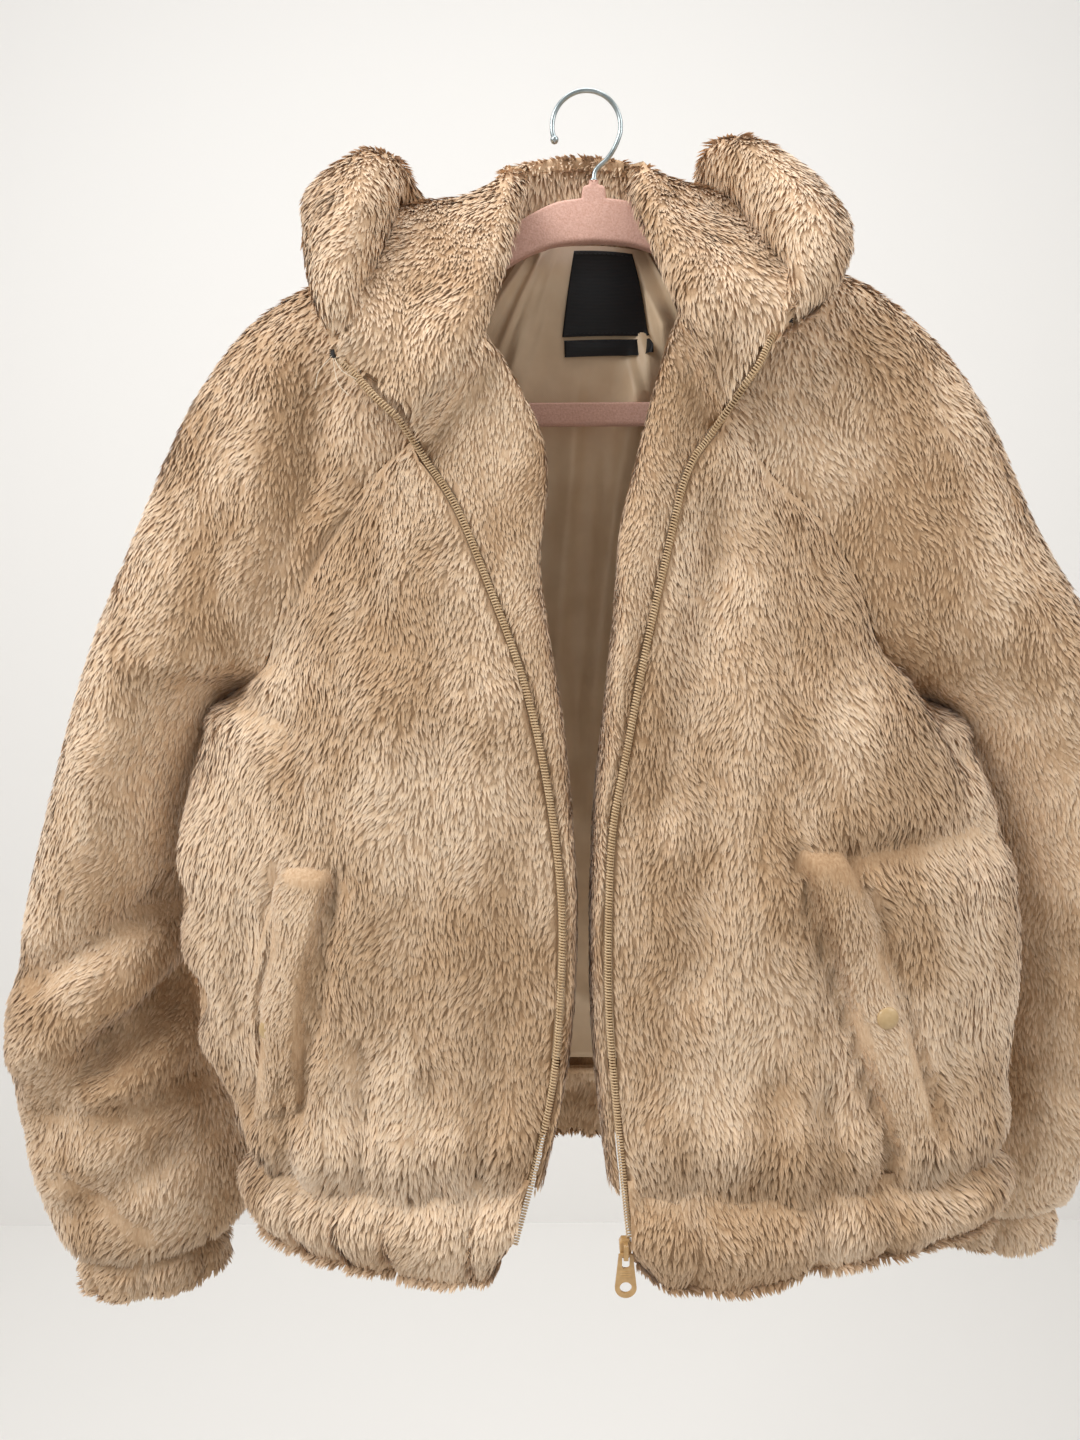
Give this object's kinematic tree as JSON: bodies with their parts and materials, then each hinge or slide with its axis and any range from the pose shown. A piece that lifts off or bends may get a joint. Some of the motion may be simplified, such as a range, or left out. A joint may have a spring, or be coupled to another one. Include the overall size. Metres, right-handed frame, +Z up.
{
  "type": "faux fur jacket on a hanger",
  "caption": "Hip-length faux fur jacket with a fur-lined hood, raglan sleeves and an open front zip, hanging on a flocked hanger with a wire hook.",
  "frame": {"origin": "inside top of the hanger's hook, where it rests on a rail or peg", "axes": "+Z up, the fronts face -Y, +X to the viewer's right"},
  "size_m": [0.8513, 0.2561, 0.8688],
  "materials": {
    "faux_fur": "long, clumped acrylic pile with paler tips",
    "satin_lining": "smooth satin with a soft sheen",
    "woven_label": "fine woven, matte",
    "zip_tape": "herringbone tape with a nylon coil",
    "enamelled_zinc": "satin enamel",
    "flocked_plastic": "short velvet flock",
    "zinc_wire": "bright zinc plate"
  },
  "bodies": {
    "garment": {"front_left": "faux_fur", "front_right": "faux_fur", "back": "faux_fur", "sleeve_left": "faux_fur", "sleeve_right": "faux_fur", "hood_left": "faux_fur", "hood_right": "faux_fur", "hood_rim": "faux_fur", "facing_left": "faux_fur", "facing_right": "faux_fur", "hem_left": "faux_fur", "hem_right": "faux_fur", "hem_back": "faux_fur", "cuff_left": "faux_fur", "cuff_right": "faux_fur", "welt_left": "faux_fur", "welt_right": "faux_fur", "snap_left": "enamelled_zinc", "snap_right": "enamelled_zinc", "lining_back": "satin_lining", "lining_front_left": "satin_lining", "lining_front_right": "satin_lining", "label": "woven_label", "label_small": "woven_label", "zip_left": "zip_tape", "zip_right": "zip_tape", "slider": "enamelled_zinc", "hanger": "flocked_plastic", "hook": "zinc_wire"},
    "pull_tab": {"pull_tab": "enamelled_zinc"}
  },
  "joints": [
    {"name": "pull_tab_hinge", "type": "hinge", "parent": "garment", "child": "pull_tab", "pos_m": [0.0182, -0.1447, -0.7618], "axis": [1, 0, 0], "range_deg": [-150, 5]}
  ]
}
